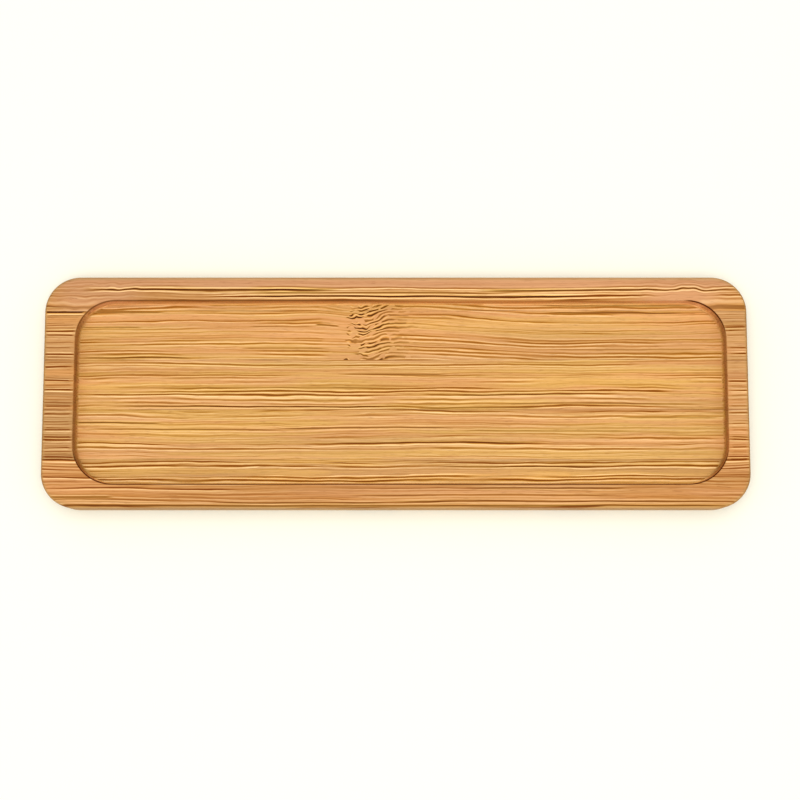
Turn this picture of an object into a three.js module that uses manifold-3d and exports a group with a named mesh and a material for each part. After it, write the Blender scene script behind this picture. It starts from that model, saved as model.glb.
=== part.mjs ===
// Bamboo vanity tray: a shallow pocket with rounded corners, routed into a board of laminated bamboo.
// The board is pressed from three plies, and each ply is a row of bamboo strips glued edge to edge.
// Millimetres, +Z up. The origin is the centre of the base face. The grain runs along X, the back rim is at +Y.

import * as THREE from "three";
import { mergeVertices } from "three/addons/utils/BufferGeometryUtils.js";
import Module from "manifold-3d";

const wasm = await Module();
wasm.setup();

// Board outline
const boardLength = 300;
const boardWidth = 99;
const boardCornerRadius = 15;
const topEdgeRadius = 1.5;
const baseEdgeRadius = 1;

// Plies
const rimPlyThickness = 4;
const corePlyThickness = 7;
const basePlyThickness = 4;

// Strips. The strips along the back and front edges are trimmed to their own widths, those between them are equal.
const stripsBetween = 3;
const rimBackStripWidth = 14.9;
const rimFrontStripWidth = 20.5;
const coreBackStripWidth = 13.5;
const coreFrontStripWidth = 21.3;
const baseBackStripWidth = 17.5;
const baseFrontStripWidth = 17.5;
const glueLine = 0.1;

// Pocket
const leftRimWidth = 13.2;
const rightRimWidth = 9.1;
const backRimWidth = 10.4;
const frontRimWidth = 10.4;
const pocketDepth = 6.5;
const pocketCornerRadius = 17;
const lipRadius = 0.6;
const coveRadius = 1.5;
const wallDraft = THREE.MathUtils.degToRad(4);

// Facets of a quarter turn
const cornerFacets = 12;
const edgeFacets = 4;
const lipFacets = 3;
const coveFacets = 5;

// How far a cutting shape reaches past the board
const overcut = 5;

const boardThickness = basePlyThickness + corePlyThickness + rimPlyThickness;

// Bamboo tones, light honey to pinkish tan
const stripTones = [0xdba667, 0xd29b60, 0xe0ad6e];
const stripRoughness = 0.5;

// Points of an arc in the section plane: x is how much the outline grows, y is the height.
function sectionArc(centreGrow, centreHeight, radius, startAngle, endAngle, facets) {
  const arc = new THREE.EllipseCurve(
    centreGrow, centreHeight, radius, radius, startAngle, endAngle, endAngle < startAngle
  );
  return arc.getPoints(facets);
}

// The rounded rectangle between four edges, grown outward by one amount all round
function outlinePoints(edges, cornerRadius, grow) {
  const radius = cornerRadius + grow;
  const left = edges.left + cornerRadius;
  const right = edges.right - cornerRadius;
  const front = edges.front + cornerRadius;
  const back = edges.back - cornerRadius;
  const outline = new THREE.Shape();
  outline.absarc(right, back, radius, 0, Math.PI / 2);
  outline.absarc(left, back, radius, Math.PI / 2, Math.PI);
  outline.absarc(left, front, radius, Math.PI, 1.5 * Math.PI);
  outline.absarc(right, front, radius, 1.5 * Math.PI, 2 * Math.PI);
  return outline.getPoints(cornerFacets / 2);
}

// A closed skin over level rounded rectangles, one for each point of the section, from the lowest to the highest
function loftSection(edges, cornerRadius, section) {
  const rings = section.map((point) => outlinePoints(edges, cornerRadius, point.x));
  const ringSize = rings[0].length;
  const positions = [];
  const faces = [];
  rings.forEach((ring, level) => {
    for (const point of ring) positions.push(point.x, point.y, section[level].y);
  });
  for (let level = 0; level + 1 < rings.length; level++) {
    for (let i = 0; i < ringSize; i++) {
      const here = level * ringSize + i;
      const next = level * ringSize + ((i + 1) % ringSize);
      faces.push(here, next, next + ringSize);
      faces.push(here, next + ringSize, here + ringSize);
    }
  }
  const topStart = (rings.length - 1) * ringSize;
  for (const [a, b, c] of THREE.ShapeUtils.triangulateShape(rings[0], [])) {
    faces.push(a, c, b);
    faces.push(topStart + a, topStart + b, topStart + c);
  }
  const geometry = new THREE.BufferGeometry();
  geometry.setAttribute("position", new THREE.Float32BufferAttribute(positions, 3));
  geometry.setIndex(faces);
  return geometry;
}

function solidFrom(geometry) {
  geometry.deleteAttribute("normal");
  geometry.deleteAttribute("uv");
  const merged = mergeVertices(geometry);
  return new wasm.Manifold(new wasm.Mesh({
    numProp: 3,
    vertProperties: new Float32Array(merged.attributes.position.array),
    triVerts: new Uint32Array(merged.index.array),
  }));
}

function geometryFrom(solid) {
  const mesh = solid.getMesh();
  const geometry = new THREE.BufferGeometry();
  geometry.setAttribute("position", new THREE.BufferAttribute(new Float32Array(mesh.vertProperties), 3));
  geometry.setIndex(new THREE.BufferAttribute(new Uint32Array(mesh.triVerts), 1));
  return geometry;
}

// The whole board: upright sides, rounded over at the base and at the top
function boardSolid() {
  const edges = { left: -boardLength / 2, right: boardLength / 2, front: -boardWidth / 2, back: boardWidth / 2 };
  const section = [
    ...sectionArc(-baseEdgeRadius, baseEdgeRadius, baseEdgeRadius, -Math.PI / 2, 0, edgeFacets),
    ...sectionArc(-topEdgeRadius, boardThickness - topEdgeRadius, topEdgeRadius, 0, Math.PI / 2, edgeFacets),
  ];
  return solidFrom(loftSection(edges, boardCornerRadius, section));
}

// The routed space: a flat floor, a cove up to the drafted wall, and a rounded lip at the rim
function pocketSolid() {
  const edges = {
    left: -boardLength / 2 + leftRimWidth,
    right: boardLength / 2 - rightRimWidth,
    front: -boardWidth / 2 + frontRimWidth,
    back: boardWidth / 2 - backRimWidth,
  };
  const floorHeight = boardThickness - pocketDepth;
  const lipHeight = boardThickness - lipRadius;
  const wallTop = new THREE.Vector2(
    lipRadius - lipRadius * Math.cos(wallDraft),
    lipHeight + lipRadius * Math.sin(wallDraft)
  );
  const wallRun = (wallTop.y - floorHeight - coveRadius + coveRadius * Math.sin(wallDraft)) / Math.cos(wallDraft);
  const coveGrow = wallTop.x - wallRun * Math.sin(wallDraft) - coveRadius * Math.cos(wallDraft);
  const section = [
    ...sectionArc(coveGrow, floorHeight + coveRadius, coveRadius, -Math.PI / 2, -wallDraft, coveFacets),
    ...sectionArc(lipRadius, lipHeight, lipRadius, Math.PI - wallDraft, Math.PI / 2, lipFacets),
    new THREE.Vector2(lipRadius, boardThickness + overcut),
  ];
  return solidFrom(loftSection(edges, pocketCornerRadius, section));
}

// Glue joints of one ply, from the back edge to the front edge
function jointPlaces(ply) {
  const firstJoint = boardWidth / 2 - ply.backStripWidth;
  const lastJoint = -boardWidth / 2 + ply.frontStripWidth;
  const joints = [];
  for (let i = 0; i <= stripsBetween; i++) {
    joints.push(THREE.MathUtils.lerp(firstJoint, lastJoint, i / stripsBetween));
  }
  return joints;
}

// The space that one strip fills before the tray is shaped
function stripSpace(front, back, bottom, top) {
  const box = new THREE.BoxGeometry(boardLength + 2 * overcut, back - front, top - bottom);
  box.translate(0, (front + back) / 2, (bottom + top) / 2);
  return solidFrom(box);
}

function stripPlace(index, count) {
  if (index === 0) return "back";
  if (index === count - 1) return "front";
  return String(index + 1);
}

// A strip that the pocket parts in two is a left and a right block.
function pieceNames(name, bodies) {
  if (bodies.length === 1) return [name];
  return [`${name}_left`, `${name}_right`];
}

function stripMesh(name, solid, tone) {
  const geometry = geometryFrom(solid);
  geometry.computeBoundingBox();
  const centre = geometry.boundingBox.getCenter(new THREE.Vector3());
  geometry.translate(-centre.x, -centre.y, -centre.z);
  geometry.computeVertexNormals();
  const material = new THREE.MeshStandardMaterial({ color: tone, roughness: stripRoughness, metalness: 0 });
  const mesh = new THREE.Mesh(geometry, material);
  mesh.name = name;
  mesh.position.copy(centre);
  return mesh;
}

function leftEdge(solid) {
  return solid.boundingBox().min[0];
}

// One ply of the tray, its strips running from the back to the front
function plyGroup(ply, tray) {
  const group = new THREE.Group();
  group.name = `${ply.name}_ply`;
  const joints = jointPlaces(ply);
  const backEdges = [boardWidth / 2 + overcut, ...joints.map((joint) => joint - glueLine / 2)];
  const frontEdges = [...joints.map((joint) => joint + glueLine / 2), -boardWidth / 2 - overcut];
  backEdges.forEach((back, index) => {
    const strip = tray.intersect(stripSpace(frontEdges[index], back, ply.bottom, ply.top));
    const bodies = strip.decompose().sort((a, b) => leftEdge(a) - leftEdge(b));
    const names = pieceNames(`${ply.name}_strip_${stripPlace(index, backEdges.length)}`, bodies);
    const tone = stripTones[(index + ply.firstTone) % stripTones.length];
    bodies.forEach((body, side) => group.add(stripMesh(names[side], body, tone)));
  });
  return group;
}

const coreBottom = basePlyThickness;
const coreTop = basePlyThickness + corePlyThickness;
const plies = [
  {
    name: "rim", backStripWidth: rimBackStripWidth, frontStripWidth: rimFrontStripWidth, firstTone: 1,
    bottom: coreTop + glueLine / 2, top: boardThickness + overcut,
  },
  {
    name: "core", backStripWidth: coreBackStripWidth, frontStripWidth: coreFrontStripWidth, firstTone: 2,
    bottom: coreBottom + glueLine / 2, top: coreTop - glueLine / 2,
  },
  {
    name: "base", backStripWidth: baseBackStripWidth, frontStripWidth: baseFrontStripWidth, firstTone: 0,
    bottom: -overcut, top: coreBottom - glueLine / 2,
  },
];

const tray = boardSolid().subtract(pocketSolid());
const part = new THREE.Group();
part.name = "bamboo_vanity_tray";
for (const ply of plies) part.add(plyGroup(ply, tray));

export default part;
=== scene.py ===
"""Bamboo vanity tray: the finished look of the laminated board.

Metres, +Z up. The grain runs along X, the back rim is at +Y, the tray stands on z = 0.
"""

import math
from collections import namedtuple
from types import SimpleNamespace

import bmesh
import bpy
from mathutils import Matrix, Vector


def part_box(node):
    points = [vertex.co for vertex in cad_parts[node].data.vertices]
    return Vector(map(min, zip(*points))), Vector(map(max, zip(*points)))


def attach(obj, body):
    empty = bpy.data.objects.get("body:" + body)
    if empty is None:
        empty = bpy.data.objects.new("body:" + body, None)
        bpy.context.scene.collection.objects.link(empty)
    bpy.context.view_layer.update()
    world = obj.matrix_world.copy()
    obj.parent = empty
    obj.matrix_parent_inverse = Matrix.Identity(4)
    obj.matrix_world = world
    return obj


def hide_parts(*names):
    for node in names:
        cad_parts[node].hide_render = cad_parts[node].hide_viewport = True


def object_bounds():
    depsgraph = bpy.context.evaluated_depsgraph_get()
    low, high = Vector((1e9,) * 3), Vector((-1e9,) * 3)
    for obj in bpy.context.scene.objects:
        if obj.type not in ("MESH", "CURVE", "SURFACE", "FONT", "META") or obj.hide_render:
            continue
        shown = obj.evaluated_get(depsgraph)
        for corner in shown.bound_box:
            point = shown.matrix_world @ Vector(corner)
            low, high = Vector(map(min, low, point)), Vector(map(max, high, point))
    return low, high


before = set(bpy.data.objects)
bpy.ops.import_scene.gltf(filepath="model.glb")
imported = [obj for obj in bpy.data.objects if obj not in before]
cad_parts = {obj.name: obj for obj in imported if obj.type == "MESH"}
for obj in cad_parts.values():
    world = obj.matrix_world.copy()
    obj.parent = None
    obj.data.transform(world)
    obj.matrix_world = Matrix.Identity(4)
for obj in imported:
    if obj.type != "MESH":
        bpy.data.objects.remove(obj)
cad_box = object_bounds()

MM = 0.001

# Board and pocket
CORNER_RADIUS = 15 * MM
TOP_EDGE_RADIUS = 1.5 * MM
BASE_EDGE_RADIUS = 1.0 * MM
LEFT_RIM = 13.2 * MM
RIGHT_RIM = 9.1 * MM
BACK_RIM = 10.4 * MM
FRONT_RIM = 10.4 * MM
POCKET_DEPTH = 6.5 * MM
POCKET_CORNER_RADIUS = 17 * MM
LIP_RADIUS = 0.6 * MM
COVE_RADIUS = 1.5 * MM
WALL_DRAFT = math.radians(4)

# Fineness of the finished surface
CORNER_STEPS = 28
LONG_SIDE_STEPS = 60
SHORT_SIDE_STEPS = 20
ROUND_STEPS = 8
WALL_STEPS = 3
FLAT_BORDER = 0.4 * MM
SHARP_ANGLE = math.radians(30)
TOUCH = 0.02 * MM
CUT_TOLERANCE = 1e-8

# Glue fills the joints, so each strip reaches nearly to the middle of its glue lines
GLUE_REACH = 0.045 * MM

low_corner, high_corner = (Vector(corner) for corner in cad_box)
HEIGHT = high_corner.z
OUTER = {"left": low_corner.x, "right": high_corner.x, "front": low_corner.y, "back": high_corner.y}
POCKET = {
    "left": low_corner.x + LEFT_RIM,
    "right": high_corner.x - RIGHT_RIM,
    "front": low_corner.y + FRONT_RIM,
    "back": high_corner.y - BACK_RIM,
}

# Levels of the rim and of the pocket's floor, in the millimetres that the materials count in
RIM_LEVEL = HEIGHT / MM
FLOOR_LEVEL = (HEIGHT - POCKET_DEPTH) / MM


# Shape of the tray

def ring_points(edges, corner_radius, grow, height):
    """One level rounded rectangle, anticlockwise, grown outward by one amount all round."""
    left = edges["left"] + corner_radius
    right = edges["right"] - corner_radius
    front = edges["front"] + corner_radius
    back = edges["back"] - corner_radius
    centres = [(right, back), (left, back), (left, front), (right, front)]
    side_steps = [LONG_SIDE_STEPS, SHORT_SIDE_STEPS, LONG_SIDE_STEPS, SHORT_SIDE_STEPS]
    arcs = []
    for turn, (x, y) in enumerate(centres):
        arc = []
        for step in range(CORNER_STEPS + 1):
            angle = (turn + step / CORNER_STEPS) * math.pi / 2
            reach = corner_radius + grow
            arc.append(Vector((x + reach * math.cos(angle), y + reach * math.sin(angle), height)))
        arcs.append(arc)
    points = []
    for turn, arc in enumerate(arcs):
        points += arc
        start = arc[-1]
        end = arcs[(turn + 1) % 4][0]
        steps = side_steps[turn]
        points += [start.lerp(end, step / steps) for step in range(1, steps)]
    return points


def arc_steps(grow, height, radius, start, end):
    """Points (grow, height) of a rounded edge, between two angles in the section."""
    steps = []
    for step in range(ROUND_STEPS + 1):
        angle = start + (end - start) * step / ROUND_STEPS
        steps.append((grow + radius * math.cos(angle), height + radius * math.sin(angle)))
    return steps


def outer_section():
    """The section from the underside, round the base edge, up the side and over the top edge."""
    base = arc_steps(-BASE_EDGE_RADIUS, BASE_EDGE_RADIUS, BASE_EDGE_RADIUS, -math.pi / 2, 0)
    top = arc_steps(-TOP_EDGE_RADIUS, HEIGHT - TOP_EDGE_RADIUS, TOP_EDGE_RADIUS, 0, math.pi / 2)
    under = [(-BASE_EDGE_RADIUS - FLAT_BORDER, 0.0)]
    rim = [(-TOP_EDGE_RADIUS - FLAT_BORDER, HEIGHT)]
    return under + base + top + rim


def pocket_section():
    """The section from the rim, over the lip, down the drafted wall and through the cove to the floor."""
    lip_height = HEIGHT - LIP_RADIUS
    floor = HEIGHT - POCKET_DEPTH
    lip = arc_steps(LIP_RADIUS, lip_height, LIP_RADIUS, math.pi / 2, math.pi - WALL_DRAFT)
    wall_grow, wall_height = lip[-1]
    drop = wall_height - floor - COVE_RADIUS + COVE_RADIUS * math.sin(WALL_DRAFT)
    cove_grow = wall_grow - drop * math.tan(WALL_DRAFT) - COVE_RADIUS * math.cos(WALL_DRAFT)
    cove = arc_steps(cove_grow, floor + COVE_RADIUS, COVE_RADIUS, -WALL_DRAFT, -math.pi / 2)
    wall = []
    for step in range(1, WALL_STEPS):
        share = step / WALL_STEPS
        wall.append((
            wall_grow + (cove[0][0] - wall_grow) * share,
            wall_height + (cove[0][1] - wall_height) * share,
        ))
    rim = [(LIP_RADIUS + FLAT_BORDER, HEIGHT)]
    flat = [(cove_grow - FLAT_BORDER, floor)]
    return rim + lip + wall + cove + flat


def tray_mesh():
    """The whole tray as one closed skin of rings, from the underside round to the pocket's floor."""
    rings = [ring_points(OUTER, CORNER_RADIUS, grow, height) for grow, height in outer_section()]
    rings += [ring_points(POCKET, POCKET_CORNER_RADIUS, grow, height) for grow, height in pocket_section()]
    shape = bmesh.new()
    rows = [[shape.verts.new(point) for point in ring] for ring in rings]
    size = len(rows[0])
    for lower, upper in zip(rows, rows[1:]):
        for here in range(size):
            after = (here + 1) % size
            shape.faces.new((lower[here], lower[after], upper[after], upper[here]))
    shape.faces.new(list(reversed(rows[0])))
    shape.faces.new(rows[-1])
    mesh = bpy.data.meshes.new("whole_tray")
    shape.to_mesh(mesh)
    shape.free()
    return mesh


def cut_away(shape, place, direction):
    """Cuts the shape at a plane, drops what lies beyond it and closes the cut."""
    everything = list(shape.verts) + list(shape.edges) + list(shape.faces)
    bmesh.ops.bisect_plane(
        shape, geom=everything, dist=CUT_TOLERANCE, plane_co=place, plane_no=direction, clear_outer=True
    )
    open_edges = [edge for edge in shape.edges if edge.is_boundary]
    bmesh.ops.holes_fill(shape, edges=open_edges, sides=0)


def strip_mesh(node, whole):
    """The part of the tray that one strip fills."""
    low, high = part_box(node)
    shape = bmesh.new()
    shape.from_mesh(whole)
    for axis in (1, 2):
        direction = Vector((0, 0, 0))
        direction[axis] = 1
        if high[axis] < high_corner[axis] - TOUCH:
            cut_away(shape, high + direction * GLUE_REACH, direction)
        if low[axis] > low_corner[axis] + TOUCH:
            cut_away(shape, low - direction * GLUE_REACH, -direction)
    other_block = [v for v in shape.verts if not low.x - TOUCH < v.co.x < high.x + TOUCH]
    bmesh.ops.delete(shape, geom=other_block, context="VERTS")
    many_sided = [face for face in shape.faces if len(face.verts) > 4]
    bmesh.ops.triangulate(shape, faces=many_sided)
    bmesh.ops.recalc_face_normals(shape, faces=shape.faces)
    mesh = bpy.data.meshes.new(node)
    shape.to_mesh(mesh)
    shape.free()
    mesh.polygons.foreach_set("use_smooth", [True] * len(mesh.polygons))
    mesh.set_sharp_from_angle(angle=SHARP_ANGLE)
    return mesh


# Camera, light and floor

AIM = Vector((1.79 * MM, -3.6 * MM, HEIGHT))
CAMERA_DISTANCE = 0.699
CAMERA_ELEVATION = math.radians(82.5)
CAMERA_LENS = 74.1
SENSOR_WIDTH = 36
CLIP_END = 20

# A round soft light that shines at the tray: its size is its width across, its power is in watts
Light = namedtuple("Light", "name place size power colour")
LIGHTS = [
    Light("key", (-0.1, -0.45, 2.5), 1.6, 20, (1.0, 0.99, 0.96)),
    Light("overhead", (0.0, 0.0, 2.8), 3.0, 44, (1.0, 0.995, 0.97)),
]
SURROUND_COLOUR = (1.0, 0.995, 0.97, 1)
SURROUND_STRENGTH = 0.6

FLOOR_HALF_SIZE = 12
FLOOR_COLOUR = (0.86, 0.86, 0.76, 1)
FLOOR_ROUGHNESS = 0.9
FLOOR_GLOSS = 0.1


def place_camera():
    """A near camera, high in front of the tray."""
    data = bpy.data.cameras.new("camera")
    data.lens = CAMERA_LENS
    data.sensor_width = SENSOR_WIDTH
    data.clip_end = CLIP_END
    camera = bpy.data.objects.new("camera", data)
    away = Vector((0, -math.cos(CAMERA_ELEVATION), math.sin(CAMERA_ELEVATION)))
    camera.location = Vector((AIM.x, 0, HEIGHT)) + away * CAMERA_DISTANCE
    camera.rotation_euler = (AIM - camera.location).to_track_quat("-Z", "Y").to_euler()
    bpy.context.scene.collection.objects.link(camera)
    bpy.context.scene.camera = camera


def place_light(light):
    """A light in its place, turned to the tray."""
    data = bpy.data.lights.new(light.name, "AREA")
    data.shape = "DISK"
    data.size = light.size
    data.energy = light.power
    data.color = light.colour
    lamp = bpy.data.objects.new(light.name, data)
    lamp.location = light.place
    lamp.rotation_euler = (-Vector(light.place)).to_track_quat("-Z", "Y").to_euler()
    bpy.context.scene.collection.objects.link(lamp)


def light_studio():
    """Soft light from above, with bright surroundings."""
    world = bpy.data.worlds.new("studio")
    world.use_nodes = True
    background = world.node_tree.nodes["Background"]
    background.inputs["Color"].default_value = SURROUND_COLOUR
    background.inputs["Strength"].default_value = SURROUND_STRENGTH
    bpy.context.scene.world = world
    for light in LIGHTS:
        place_light(light)
    bpy.context.scene.view_settings.view_transform = "Standard"


def make_floor():
    """The pale surface that the tray stands on."""
    shape = bmesh.new()
    bmesh.ops.create_grid(shape, x_segments=1, y_segments=1, size=FLOOR_HALF_SIZE)
    mesh = bpy.data.meshes.new("floor")
    shape.to_mesh(mesh)
    shape.free()
    floor = bpy.data.objects.new("floor", mesh)
    material = bpy.data.materials.new("pale_floor")
    material.use_nodes = True
    shader = material.node_tree.nodes["Principled BSDF"]
    shader.inputs["Base Color"].default_value = FLOOR_COLOUR
    shader.inputs["Roughness"].default_value = FLOOR_ROUGHNESS
    shader.inputs["Specular IOR Level"].default_value = FLOOR_GLOSS
    mesh.materials.append(material)
    bpy.context.scene.collection.objects.link(floor)


# Bamboo

class Nodes:
    """Short calls that add the nodes of one material."""

    def __init__(self, name):
        self.material = bpy.data.materials.new(name)
        self.material.use_nodes = True
        self.tree = self.material.node_tree
        self.tree.nodes.clear()

    def put(self, socket, value):
        if isinstance(value, bpy.types.NodeSocket):
            self.tree.links.new(value, socket)
        else:
            socket.default_value = value

    def add(self, kind, **settings):
        node = self.tree.nodes.new(kind)
        for name, value in settings.items():
            setattr(node, name, value)
        return node

    def math(self, operation, first, second=0.0):
        node = self.add("ShaderNodeMath", operation=operation)
        self.put(node.inputs[0], first)
        self.put(node.inputs[1], second)
        return node.outputs[0]

    def chain(self, operation, terms):
        """One operation over all terms, from the first to the last."""
        result = terms[0]
        for term in terms[1:]:
            result = self.math(operation, result, term)
        return result

    def total(self, *terms):
        return self.chain("ADD", terms)

    def product(self, *terms):
        return self.chain("MULTIPLY", terms)

    def largest(self, *terms):
        return self.chain("MAXIMUM", terms)

    def rest(self, share):
        """What a share leaves of one."""
        return self.math("SUBTRACT", 1.0, share)

    def swing(self, random_value, reach):
        """A random value around 0.5 as a move to either side, over a reach in all."""
        return self.product(self.math("SUBTRACT", random_value, 0.5), reach)

    def ramp(self, value, start, end, low=0.0, high=1.0):
        """A smooth step from low to high as value goes from start to end."""
        node = self.add("ShaderNodeMapRange", interpolation_type="SMOOTHSTEP")
        if start > end:
            start, end, low, high = end, start, high, low
        for socket, number in zip(node.inputs, (value, start, end, low, high)):
            self.put(socket, number)
        return node.outputs[0]

    def split(self, vector):
        node = self.add("ShaderNodeSeparateXYZ")
        self.put(node.inputs[0], vector)
        return node.outputs[0], node.outputs[1], node.outputs[2]

    def join(self, x, y, z=0.0):
        node = self.add("ShaderNodeCombineXYZ")
        for socket, value in zip(node.inputs, (x, y, z)):
            self.put(socket, value)
        return node.outputs[0]

    def noise(self, place, size, detail=1.0):
        """(plain, red, green, blue): four smooth random values around 0.5, in patches of a size."""
        node = self.add("ShaderNodeTexNoise", noise_dimensions="3D")
        patch = [self.product(value, 1 / length) for value, length in zip(place, size)]
        self.put(node.inputs["Vector"], self.join(*patch))
        node.inputs["Scale"].default_value = 1
        node.inputs["Detail"].default_value = detail
        colour = self.add("ShaderNodeSeparateColor")
        self.put(colour.inputs[0], node.outputs["Color"])
        return (node.outputs["Fac"], *colour.outputs)

    def mix(self, share, first, second, blend="MIX"):
        """The first colour, turning into the second, or into the two blended, as share goes from 0 to 1."""
        node = self.add("ShaderNodeMix", data_type="RGBA", blend_type=blend)
        self.put(node.inputs[0], share)
        self.put(node.inputs[6], first)
        self.put(node.inputs[7], second)
        return node.outputs[2]

    def between(self, share, first, second):
        """A number that goes from the first to the second as share goes from 0 to 1."""
        node = self.add("ShaderNodeMix", data_type="FLOAT")
        self.put(node.inputs[0], share)
        self.put(node.inputs[2], first)
        self.put(node.inputs[3], second)
        return node.outputs[0]

    def scaled(self, colour, factor):
        node = self.add("ShaderNodeVectorMath", operation="SCALE")
        self.put(node.inputs[0], colour)
        self.put(node.inputs["Scale"], factor)
        return node.outputs[0]

    def away(self, value, place):
        """How far a value is from a place, without sign."""
        return self.math("ABSOLUTE", self.math("SUBTRACT", value, place))

    def bundles(self, y, z, spacing, depth):
        """Fibre bundles along X: (distance across, distance in depth, a random value of the bundle)."""
        across = self.product(y, 1 / spacing)
        deep = self.product(z, 1 / depth)
        node = self.add("ShaderNodeTexVoronoi", voronoi_dimensions="2D", feature="F1")
        self.put(node.inputs["Vector"], self.join(across, deep))
        node.inputs["Scale"].default_value = 1
        middle_across, middle_deep, _ = self.split(node.outputs["Position"])
        colour = self.add("ShaderNodeSeparateColor")
        self.put(colour.inputs[0], node.outputs["Color"])
        return self.away(across, middle_across), self.away(deep, middle_deep), colour.outputs[0]

    def outside(self, x, y, edges, corner_radius):
        """How far a point is outside a rounded rectangle, less than zero inside it."""
        middle_x = (edges["left"] + edges["right"]) / 2 / MM
        middle_y = (edges["front"] + edges["back"]) / 2 / MM
        half_x = (edges["right"] - edges["left"]) / 2 / MM
        half_y = (edges["back"] - edges["front"]) / 2 / MM
        radius = corner_radius / MM
        past_x = self.math("SUBTRACT", self.away(x, middle_x), half_x - radius)
        past_y = self.math("SUBTRACT", self.away(y, middle_y), half_y - radius)
        corner_x = self.largest(past_x, 0.0)
        corner_y = self.largest(past_y, 0.0)
        squares = self.total(self.product(corner_x, corner_x), self.product(corner_y, corner_y))
        reach = self.math("SQRT", squares)
        inside = self.math("MINIMUM", self.largest(past_x, past_y), 0.0)
        return self.total(reach, inside, -radius)


def seen(red, green, blue):
    """A colour named by its 0 to 255 screen values, as light."""
    def light(value):
        value = value / 255
        return value / 12.92 if value <= 0.04045 else ((value + 0.055) / 1.055) ** 2.4
    return (light(red), light(green), light(blue), 1)


DARK_FIBRE = seen(116, 52, 0)
DEEP_FIBRE = seen(66, 19, 0)
PALE_FIBRE = seen(252, 212, 156)
RESIN = (0.98, 0.84, 0.25, 1)
GLUE_STAIN = seen(100, 50, 6)
# Darker cut ends of the fibres, also used for painted shade on the end walls and the floor beside them
END_GRAIN_AND_SHADE = (0.80, 0.71, 0.52, 1)
# Painted light on the pocket's front and back walls
PAINTED_WALL_LIGHT = (1.5, 1.46, 1.4, 1)
# Painted shade along the pocket's lip: dark on the lip and softer beside it
PAINTED_LIP_SHADE = (0.17, 0.08, 0.01, 1)
PAINTED_SHADE_BESIDE_LIP = (0.96, 0.85, 0.58, 1)
KHAKI = seen(176, 139, 86)

HONEY = seen(203, 155, 91)
GOLD = seen(203, 156, 87)
ROSE = seen(203, 147, 93)
TAN = seen(182, 135, 82)
CLAY = seen(193, 134, 82)
SAND = seen(194, 144, 91)
BLUSH = seen(200, 145, 104)
AMBER = seen(187, 129, 70)
OCHRE = seen(188, 133, 77)
UMBER = seen(166, 119, 69)

# How deep the grooves of the grain are, and the satin lacquer over them
GROOVE_DEPTH = 0.05 * MM
GROOVE_STRENGTH = 0.5
LACQUER_ROUGHNESS = 0.42
LACQUER_GLOSS = 0.06

# Half widths of the fibre lines and of a knuckle's strokes, in millimetres
STRONG_LINE_WIDTH = 0.42
FAINT_LINE_WIDTH = 0.24
STROKE_WIDTH = 0.52

# How far apart a knuckle's strokes and the dots of the end grain are, in millimetres
STROKE_SPACING = 1.64
DOT_SPACING = 1.0

# The longest stretch over which a bold line fades at its ends, in millimetres
LONGEST_FADE = 20.0

# A line of the grain: its place across, its two ends along, its half width and how dark it is
Line = namedtuple("Line", "place start end width force")
# A joint of the cane: its place along and across
Knuckle = namedtuple("Knuckle", "along across")
# A stretch where the grain sways: its place along and how far it sways
Swirl = namedtuple("Swirl", "along sway")

# Each strip comes from another cane: how far one strip's grain starts from the next one's, in millimetres
CANE_STEP = Vector((97, 11, 5))


def line_zones(n, distance, width):
    """(dark, warm, pale): a dark line, the resin soaked in beside it, and the pale tissue beyond that."""
    dark = n.ramp(distance, 0.95 * width, 0.35 * width)
    warm = n.ramp(distance, 1.7 * width, 0.3 * width)
    pale = n.ramp(n.away(distance, 1.8 * width), width, 0.1 * width)
    return dark, warm, pale


def knuckle_grain(n, x, y, z, knuckle):
    """Where a joint of the cane was: (lift, quiet, dark, warm, pale).

    On the right the fibres rise in a step and are drawn as dark strokes that soon fade, each at its own
    place. On the left the strokes break up into short hooks, and beyond those the wood is calm.
    """
    _, jog, uneven, _ = n.noise((x, y, z), size=(6, 4, 4))
    _, jag, _, _ = n.noise((x, y, z), size=(4.5, 6, 9))
    _, spread, _, _ = n.noise((x, y, 0.0), size=(40, 3, 1))
    from_middle = n.math("SUBTRACT", x, knuckle.along)
    ragged = n.math("ADD", from_middle, n.swing(jog, 15.0))
    upper = n.ramp(n.math("SUBTRACT", y, knuckle.across), -5.0, 6.0)
    dip = n.product(n.ramp(n.away(from_middle, -6.0), 16.0, 0.0), upper, -1.8)
    rise = n.product(n.ramp(from_middle, -1.0, 9.0), n.ramp(from_middle, 90.0, 16.0), 2.6)
    lift = n.math("ADD", dip, rise)

    # Strokes follow the lift and stray from it, most of all on the left
    left = n.ramp(from_middle, 3.0, -5.0)
    stroke_y = n.total(
        y,
        n.product(lift, -1.0),
        n.swing(jag, n.total(1.0, n.product(left, 5.0))),
        n.swing(uneven, 1.2),
        n.swing(spread, 1.8),
    )
    _, own_end, own_force, _ = n.noise((0.0, stroke_y, 5.0), size=(1, 2, 1))
    stroke_end = n.math("ADD", from_middle, n.swing(own_end, 26.0))
    force = n.ramp(own_force, 0.36, 0.56, 0.45, 1.0)
    breaks, _, _, _ = n.noise((x, stroke_y, 0.0), size=(4, 2, 1))
    whole = n.ramp(n.math("ADD", breaks, n.product(left, -0.07)), 0.37, 0.45)
    begun = n.ramp(ragged, -9.0, -6.5)
    shown = n.product(begun, n.ramp(stroke_end, 26.0, 0.0), whole, force)
    zones = line_zones(n, n.math("PINGPONG", stroke_y, STROKE_SPACING / 2), STROKE_WIDTH)
    dark, warm, pale = (n.product(zone, shown) for zone in zones)

    marked = n.product(begun, n.ramp(from_middle, 15.0, 8.0))
    calm = n.product(n.ramp(n.away(ragged, -12.5), 9.0, 4.0), 0.5)
    return lift, n.largest(marked, calm), dark, warm, n.product(pale, 1.2)


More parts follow.
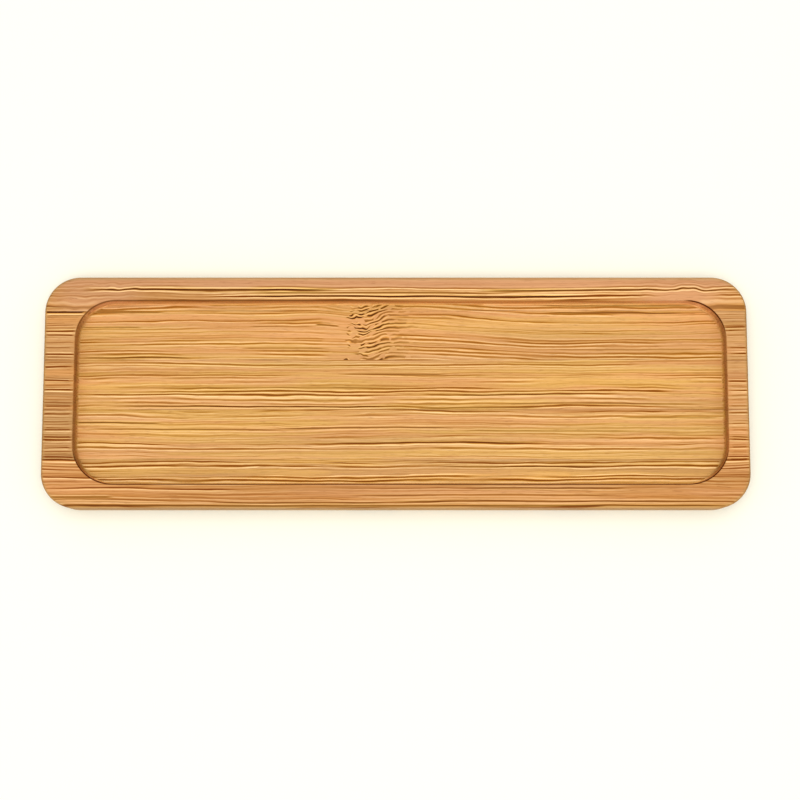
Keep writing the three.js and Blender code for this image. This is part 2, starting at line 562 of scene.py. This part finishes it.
def follow_grain(n, look):
    """The place and facing of a point, and its place in the grain, which wanders as it runs along."""
    coordinates = n.add("ShaderNodeTexCoord")
    x, y, z = n.split(n.scaled(coordinates.outputs["Object"], 1 / MM))
    normal_x, normal_y, normal_z = n.split(coordinates.outputs["Normal"])
    along = n.math("ADD", x, CANE_STEP.x * look["seed"])
    _, drift, sink, _ = n.noise((along, y, z), size=(90, 14, 14))
    _, ripple, dive, _ = n.noise((along, y, z), size=(24, 5, 5), detail=2.0)
    wander = n.math("ADD", n.swing(drift, look["wander"]), n.swing(ripple, look["ripple"]))
    bends = 0.0
    quiet = 0.0
    for swirl in look["swirls"]:
        _, turn, _, _ = n.noise((x, y, z), size=(9, 7, 7))
        near = n.ramp(n.away(x, swirl.along), 26.0, 8.0)
        bends = n.math("ADD", bends, n.swing(turn, n.product(near, swirl.sway)))
        quiet = n.largest(quiet, n.product(near, 0.7))
    strokes = (0.0, 0.0, 0.0)
    upright = n.ramp(n.math("ABSOLUTE", normal_z), 0.87, 0.44)
    side = n.product(upright, n.ramp(n.math("ABSOLUTE", normal_y), 0.12, 0.3))
    for knuckle in look["knuckles"]:
        lift, *marks = knuckle_grain(n, x, y, z, knuckle)
        quiet, *strokes = (n.product(mark, n.rest(side)) for mark in marks)
        bends = n.math("SUBTRACT", bends, lift)
    bent_y = n.total(y, wander, bends)
    if look["bare_from"]:
        bare = n.ramp(bent_y, look["bare_from"] - 0.6, look["bare_from"] + 0.4, 0.0, 0.85)
        quiet = n.largest(quiet, bare)
    return SimpleNamespace(
        x=x, y=y, z=z, along=along,
        bold_y=n.total(y, n.product(wander, 0.4), bends),
        grain_y=n.math("ADD", bent_y, CANE_STEP.y * look["seed"]),
        grain_z=n.total(z, n.swing(sink, 2.4), n.swing(dive, 1.0), CANE_STEP.z * look["seed"]),
        quiet=quiet, strokes=strokes,
        normal_y=normal_y, normal_z=normal_z,
        past_lip=n.outside(x, y, POCKET, POCKET_CORNER_RADIUS),
        past_edge=n.outside(x, y, OUTER, CORNER_RADIUS),
        end=n.ramp(n.math("ABSOLUTE", normal_x), 0.25, 0.9),
        wall=n.ramp(n.math("ABSOLUTE", normal_y), 0.5, 0.9),
        side=side,
    )


def wood_tone(n, g, look):
    """(colour, fine): bands of tone along the strip, duller on the outer rounding, and the fine fibres."""
    band, _, _, _ = n.noise((g.along, g.grain_y, g.grain_z), size=(90, 3.5, 3.5), detail=2.0)
    broad, _, _, _ = n.noise((g.along, g.y, g.z), size=(200, 9, 9))
    fine, _, _, _ = n.noise((g.along, g.grain_y, g.grain_z), size=(25, 0.35, 0.35))
    colour = n.mix(n.ramp(band, 0.38, 0.62), look["light"], look["warm"])
    if look["bare_from"]:
        colour = n.mix(g.quiet, colour, BLUSH)
    near_top = n.ramp(g.z, RIM_LEVEL - 2.6, RIM_LEVEL - 1.0)
    rounding = n.product(n.ramp(g.past_edge, -2.0, -0.4), near_top, 0.6)
    colour = n.mix(rounding, colour, KHAKI)
    shade = n.total(1.0, n.swing(broad, 0.6), n.swing(fine, 0.3))
    return n.scaled(colour, shade), fine


def fibre_lines(n, g, spacing, width):
    """(dark, warm, pale): how strongly a dark bundle, and the zones on both its sides, show at a point."""
    across, deep, chance = n.bundles(g.grain_y, g.grain_z, spacing, 1.6 * spacing)
    beside = n.between(g.side, across, deep)
    cut = n.ramp(n.between(g.side, deep, across), 0.5, 0.25)
    own, _, _, _ = n.noise((g.along, n.product(chance, 60.0), 0.0), size=(45, 1, 1))
    strength = n.product(cut, n.ramp(chance, 0.1, 0.95, 0.3, 1.2), n.ramp(own, 0.32, 0.56, 0.1, 1.0))
    return [n.product(strength, zone) for zone in line_zones(n, n.product(beside, spacing), width)]


def bold_line(n, g, line):
    """(dark, warm, pale) of one dark line that can be followed far along the strip."""
    half = (line.end - line.start) / 2
    from_end = n.math("SUBTRACT", half, n.away(g.x, (line.start + line.end) / 2))
    strength = n.product(n.ramp(from_end, 0.0, min(0.3 * half, LONGEST_FADE)), line.force)
    zones = line_zones(n, n.away(g.bold_y, line.place), line.width)
    return [n.product(strength, zone) for zone in zones]


def clear_share(n, g, look):
    """How clearly lines show: less on cut ends, on the rounded top edge and where an end rim is sanded."""
    rounded = n.product(n.ramp(g.normal_z, 0.97, 0.75), n.ramp(g.z, RIM_LEVEL - 2.0, RIM_LEVEL - 1.4))
    clear = n.product(n.rest(n.product(g.end, 0.9)), n.rest(n.product(rounded, 0.5)))
    if not look["sanded"]:
        return clear
    _, lip_end, edge_end, _ = n.noise((g.along, g.grain_y, 0.0), size=(60, 0.9, 1))
    from_lip = n.math("ADD", g.past_lip, n.swing(lip_end, 5.0))
    from_edge = n.math("ADD", g.past_edge, n.swing(edge_end, 4.0))
    on_rim = n.product(n.ramp(from_lip, 0.2, 2.0), n.ramp(from_edge, -0.4, -1.8))
    below = n.ramp(g.z, RIM_LEVEL - 2.0, RIM_LEVEL - 2.5)
    return n.product(clear, n.largest(on_rim, below, 1.0 - look["sanded"]))


def draw_lines(n, g, look, clear, colour):
    """(colour, lines): strong lines, many faint ones between them, and a few bold ones."""
    strong = fibre_lines(n, g, look["spacing"], STRONG_LINE_WIDTH)
    faint = fibre_lines(n, g, look["spacing"] / 2, FAINT_LINE_WIDTH)
    shown = n.rest(g.quiet)
    lines, warm, pale = (
        n.product(n.largest(zone, n.product(faint_zone, 0.45)), shown)
        for zone, faint_zone in zip(strong, faint)
    )
    bold_marks = [g.strokes] + [bold_line(n, g, line) for line in look["bold"]]
    bold, soaked, bold_pale = (n.largest(*marks) for marks in zip(*bold_marks))

    # Lines are broad on the side faces, and the resin beside them shows less there
    resin = n.rest(n.product(g.side, 0.6))
    warm = n.product(n.largest(warm, soaked), resin)
    soaked = n.product(soaked, resin)
    pale = n.largest(pale, bold_pale)

    lines = n.product(lines, clear)
    bold = n.product(bold, clear)
    colour = n.mix(n.product(pale, clear, look["glow"]), colour, PALE_FIBRE)
    colour = n.mix(n.product(warm, clear, 0.95), colour, RESIN, "MULTIPLY")
    colour = n.mix(n.product(soaked, clear, 0.7), colour, RESIN, "MULTIPLY")
    colour = n.mix(n.product(lines, 0.9 * look["contrast"]), colour, DARK_FIBRE)
    return n.mix(bold, colour, DEEP_FIBRE), n.largest(lines, bold)


def draw_specks(n, g, clear, colour):
    """(colour, flecks): on a cut end each bundle is a dot, and along the grain short vessels are flecks."""
    across, deep, chance = n.bundles(g.y, g.z, DOT_SPACING, DOT_SPACING)
    from_dot = n.total(n.product(across, across), n.product(deep, deep))
    dots = n.product(n.ramp(from_dot, 0.16, 0.02), n.ramp(chance, 0.1, 0.7, 0.15, 0.55), g.end)
    colour = n.mix(dots, colour, DARK_FIBRE)
    vessel, _, _, _ = n.noise((g.along, g.grain_y, g.grain_z), size=(5, 0.22, 0.22))
    flecks = n.product(n.ramp(vessel, 0.6, 0.7), clear, 0.3)
    return n.mix(flecks, colour, DARK_FIBRE), flecks


def stain_joints(n, g, look, colour):
    """Glue has stained the fibres along the joints, in patches."""
    gaps = [n.away(g.y, place) for place in look["glued_y"]]
    gaps += [n.away(g.z, place) for place in look["glued_z"]]
    gap = n.chain("MINIMUM", gaps)
    patchy, _, _, _ = n.noise((g.along, 3.0, g.z), size=(40, 1, 9))
    shown = n.rest(n.product(g.end, 0.5))
    stain = n.product(n.ramp(gap, 0.3, 0.05), n.ramp(patchy, 0.44, 0.64, 0.0, 0.6), shown)
    return n.mix(stain, colour, GLUE_STAIN)


def pocket_light_and_end_grain(n, g, colour):
    """Darker cut ends, with painted light and shade on the pocket's walls, its floor and its lip."""
    # Painted light: the walls that face front or back are made paler, as if lit as brightly as the floor
    in_pocket = n.ramp(g.past_lip, 0.3, -0.3)
    colour = n.mix(n.product(g.wall, in_pocket), colour, PAINTED_WALL_LIGHT, "MULTIPLY")

    # Cut ends of the fibres are darker, less so where they face the front. On the end walls and their cove
    # this darkening is partly painted shade, and a painted shade darkens the floor close to them
    on_lip = n.product(n.ramp(g.past_lip, -0.1, 0.3), n.ramp(g.past_lip, 2.0, 1.0))
    cut_ends_and_shade = n.product(g.end, n.rest(on_lip), n.ramp(g.normal_y, -0.7, -0.15, 0.15, 1.0))
    half = (POCKET["right"] - POCKET["left"]) / 2 / MM
    from_middle = n.away(g.x, (POCKET["left"] + POCKET["right"]) / 2 / MM)
    beside = n.product(n.ramp(from_middle, half - 7, half - 1.5), n.ramp(g.past_lip, 0.0, -1.0))
    shaded = n.product(beside, n.ramp(g.z, FLOOR_LEVEL - 0.5, FLOOR_LEVEL - 0.1), 0.25)
    colour = n.mix(n.largest(cut_ends_and_shade, shaded), colour, END_GRAIN_AND_SHADE, "MULTIPLY")

    # Painted shade: a dark line along the lip at the front, along the left part of the back and round the
    # corners, with a softer painted shade beside it
    front_lip = n.ramp(g.normal_y, 0.05, 0.35)
    faces_front = n.ramp(g.normal_y, -0.05, -0.35)
    back_lip = n.product(faces_front, n.ramp(g.x, 40.0, -40.0, 0.1, 0.7))
    at_corner = n.ramp(from_middle, half - 19, half - 14)
    corner_lip = n.product(faces_front, at_corner, n.ramp(g.x, -100.0, 100.0, 0.6, 1.0))
    lip_shade_share = n.math("ADD", front_lip, n.largest(back_lip, corner_lip))
    near_top = n.ramp(g.z, RIM_LEVEL - 2.0, RIM_LEVEL - 0.5)
    beside_lip = n.product(n.ramp(g.past_lip, 1.5, 0.4), near_top, lip_shade_share)
    colour = n.mix(beside_lip, colour, PAINTED_SHADE_BESIDE_LIP, "MULTIPLY")
    at_top = n.ramp(g.z, RIM_LEVEL - 1.0, RIM_LEVEL - 0.5)
    lip = n.product(n.ramp(g.past_lip, 0.8, 0.4), at_top, lip_shade_share)
    return n.mix(lip, colour, PAINTED_LIP_SHADE, "MULTIPLY")


def bamboo_material(name, look):
    """Lacquered bamboo with the look of one strip."""
    n = Nodes(name)
    g = follow_grain(n, look)
    clear = clear_share(n, g, look)
    colour, fine = wood_tone(n, g, look)
    colour, lines = draw_lines(n, g, look, clear, colour)
    colour, flecks = draw_specks(n, g, clear, colour)
    colour = stain_joints(n, g, look, colour)
    colour = pocket_light_and_end_grain(n, g, colour)
    grooves = n.largest(lines, flecks)

    bump = n.add("ShaderNodeBump")
    bump.inputs["Strength"].default_value = GROOVE_STRENGTH
    bump.inputs["Distance"].default_value = GROOVE_DEPTH
    n.put(bump.inputs["Height"], n.math("SUBTRACT", n.product(fine, 0.4), grooves))

    shader = n.add("ShaderNodeBsdfPrincipled")
    shader.inputs["Specular IOR Level"].default_value = LACQUER_GLOSS
    n.put(shader.inputs["Base Color"], colour)
    roughness = n.total(LACQUER_ROUGHNESS, n.product(fine, 0.12), n.product(grooves, 0.1))
    n.put(shader.inputs["Roughness"], roughness)
    n.put(shader.inputs["Normal"], bump.outputs[0])
    output = n.add("ShaderNodeOutputMaterial")
    n.put(output.inputs["Surface"], shader.outputs[0])
    return n.material


# Looks of the strips, in millimetres from the middle of the tray. Light and warm are the wood's two tones.
# Contrast is how dark the lines are, and glow is how pale the tissue beside them is. The grain strays by
# wander and ripple. Behind bare_from it has few lines. Sanded is how much lines fade beside a rim's edges.
FLOOR_LOOK = {
    "light": HONEY, "warm": ROSE, "spacing": 1.55, "contrast": 0.87, "glow": 0.7,
    "wander": 4.0, "ripple": 1.8, "knuckles": [], "swirls": [], "bold": [], "bare_from": None, "sanded": 0.0,
}
END_LOOK = {
    "light": TAN, "warm": OCHRE, "spacing": 1.45, "contrast": 1.7, "glow": 0.7,
    "wander": 2.0, "ripple": 1.2, "sanded": 0.6,
}
RIGHT_END_LOOK = {"light": SAND, "warm": CLAY, "contrast": 1.15, "glow": 0.8, "sanded": 0.4}
KNUCKLE_LOOK = {"knuckles": [Knuckle(-11.8, 27.3)], "contrast": 0.72, "glow": 0.5}
STRIP_LOOKS = {
    "rim_strip_back": {
        "light": OCHRE, "warm": AMBER, "spacing": 1.45, "ripple": 1.4, "contrast": 1.2, "glow": 0.8,
        "bare_from": 45.2,
        "swirls": [Swirl(-128, 3.5), Swirl(122, 3.0)],
        "bold": [
            Line(44.0, -138, -20, 0.46, 1.0),
            Line(43.8, 30, 152, 0.42, 0.85),
            Line(42.7, -70, 50, 0.38, 0.7),
            Line(41.2, -70, 88, 0.44, 1.0),
            Line(36.4, -156, -126, 1.0, 0.3),
            Line(36.0, 128, 156, 1.5, 0.4),
        ],
    },
    "rim_strip_front": {
        "light": AMBER, "warm": CLAY, "ripple": 1.4, "contrast": 1.4, "glow": 0.6,
        "bold": [
            Line(-45.1, -148, -118, 0.4, 0.7),
            Line(-48.3, -150, 148, 0.45, 0.7),
            Line(-47.0, -80, 0, 0.4, 0.6),
            Line(-46.4, -10, 148, 0.4, 0.6),
            Line(-43.9, -26, 100, 0.38, 0.45),
            Line(-41.1, 28, 102, 0.38, 0.6),
        ],
    },
    "rim_strip_2": {**END_LOOK, "light": SAND, "bold": [Line(34.2, -156, -122, 0.6, 1.0)]},
    "rim_strip_3": {**END_LOOK, "light": UMBER},
    "rim_strip_4": {**END_LOOK, "light": SAND, "warm": TAN},
    **{f"rim_strip_{place}_right": RIGHT_END_LOOK for place in (2, 3, 4)},
    "core_strip_back": {
        **KNUCKLE_LOOK,
        "bold": [Line(38.0, 58, 132, 0.4, 0.49)],
    },
    "core_strip_2": {
        **KNUCKLE_LOOK,
        "bold": [
            Line(35.2, 62, 126, 0.42, 0.7),
            Line(19.0, 64, 138, 0.38, 0.37),
            Line(35.3, -132, -98, 0.4, 0.6),
            Line(28.7, -137, -108, 0.38, 0.5),
            Line(15.2, -138, -86, 0.38, 0.6),
            Line(19.3, -68, -28, 0.38, 0.5),
            Line(28.9, -64, -34, 0.36, 0.4),
            Line(29.8, -35, -24, 0.4, 0.7),
        ],
    },
    "core_strip_3": {
        "light": GOLD,
        "bold": [
            Line(-5.8, -128, 4, 0.4, 0.7),
            Line(-6.2, 8, 64, 0.4, 0.57),
            Line(-4.5, 42, 136, 0.4, 0.45),
            Line(2.4, -126, 4, 0.38, 0.37),
            Line(-0.8, 24, 82, 0.4, 0.53),
            Line(8.3, -26, 24, 0.4, 0.57),
        ],
    },
    "core_strip_4": {
        "light": GOLD,
        "bold": [
            Line(-15.4, -136, -46, 0.4, 0.61),
            Line(-14.8, -54, 28, 0.4, 0.61),
            Line(-16.0, 24, 106, 0.38, 0.41),
            Line(-21.1, -32, 62, 0.4, 0.49),
            Line(-12.6, -140, -98, 0.42, 0.66),
            Line(-10.3, 94, 140, 0.38, 0.45),
        ],
    },
    "core_strip_front": {"light": GOLD, "warm": TAN, "bold": [Line(-31.3, 16, 90, 0.4, 0.57)]},
    "base_strip_2": {"knuckles": [Knuckle(64, 21)]},
    "base_strip_4": {"light": GOLD, "knuckles": [Knuckle(-88, -22)]},
}


def strip_name(node):
    """The strip that a node is cut from: a left and a right block are the ends of one strip."""
    return node.removesuffix("_left").removesuffix("_right")


STRIPS = sorted({strip_name(node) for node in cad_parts})


def glued_places(node, axis):
    """Where a strip is glued to its neighbours, in millimetres along one axis."""
    low = low_corner[axis] + TOUCH
    high = high_corner[axis] - TOUCH
    return [corner[axis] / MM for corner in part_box(node) if low < corner[axis] < high]


def strip_look(node):
    """The look of the strip that a node is cut from, with what differs in its right block."""
    strip = strip_name(node)
    look = {**FLOOR_LOOK, **STRIP_LOOKS.get(strip, {}), **STRIP_LOOKS.get(node, {})}
    look["seed"] = STRIPS.index(strip)
    look["glued_y"] = glued_places(node, 1)
    look["glued_z"] = glued_places(node, 2)
    return look


def make_tray():
    """Every strip in its own piece, in place of its solid."""
    whole = tray_mesh()
    for node in sorted(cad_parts):
        piece = bpy.data.objects.new(f"bamboo_{node}", strip_mesh(node, whole))
        bpy.context.scene.collection.objects.link(piece)
        piece.data.materials.append(bamboo_material(piece.name, strip_look(node)))
        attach(piece, "root")
        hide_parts(node)
    bpy.data.meshes.remove(whole)


place_camera()
light_studio()
make_floor()
make_tray()
